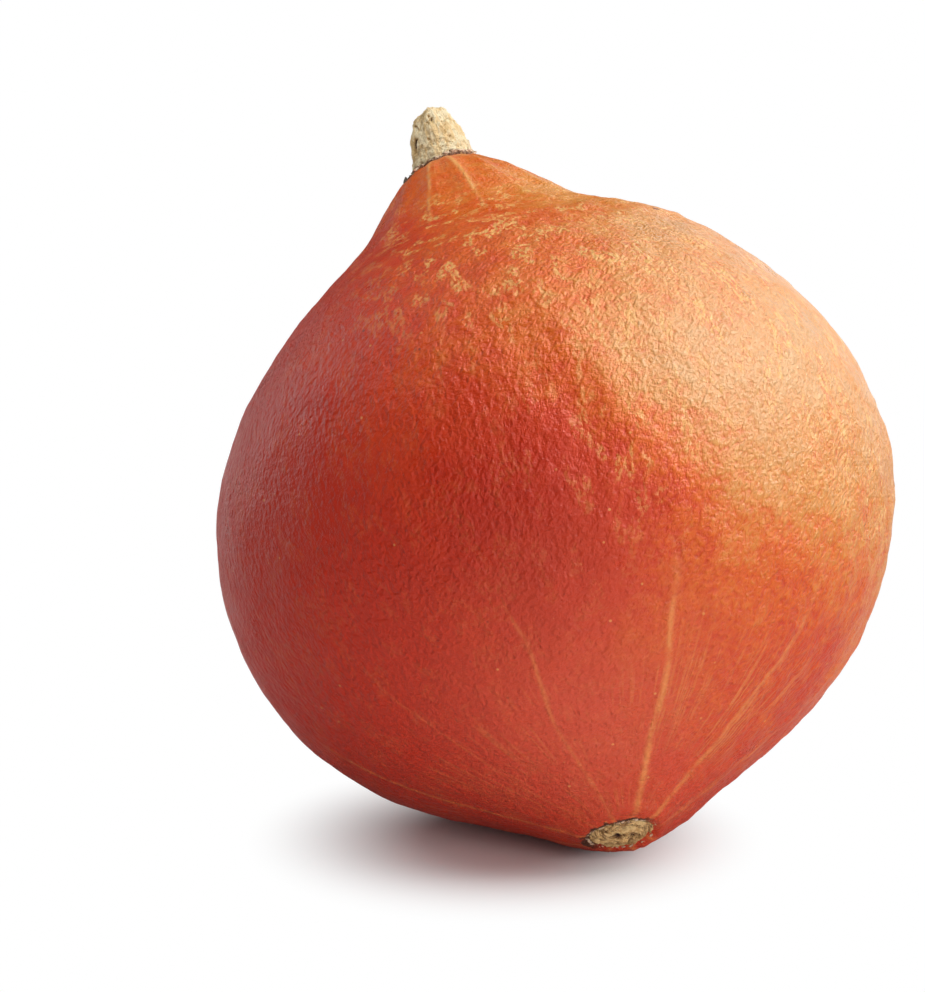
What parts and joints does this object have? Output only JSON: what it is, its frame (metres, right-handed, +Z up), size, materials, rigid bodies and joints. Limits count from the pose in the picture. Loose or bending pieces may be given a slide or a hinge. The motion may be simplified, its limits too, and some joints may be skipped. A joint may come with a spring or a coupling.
{
  "type": "red kuri squash",
  "caption": "Teardrop red kuri squash with a waxy red-orange rind, a corky stem stub and a dished blossom scar, lying on its ground spot.",
  "frame": {"origin": "on the surface that the squash rests on, under the middle of its box, inside its ground spot", "axes": "+Z up as the squash lies; the blossom scar faces down and to the front, -Y; the stem points up and back, +Y, and a little to -X"},
  "size_m": [0.1636, 0.1574, 0.1662],
  "materials": {
    "rind": "waxy satin",
    "cork": "dry and matt"
  },
  "bodies": {
    "root": {"fruit": "rind", "stem": "cork"}
  },
  "joints": []
}
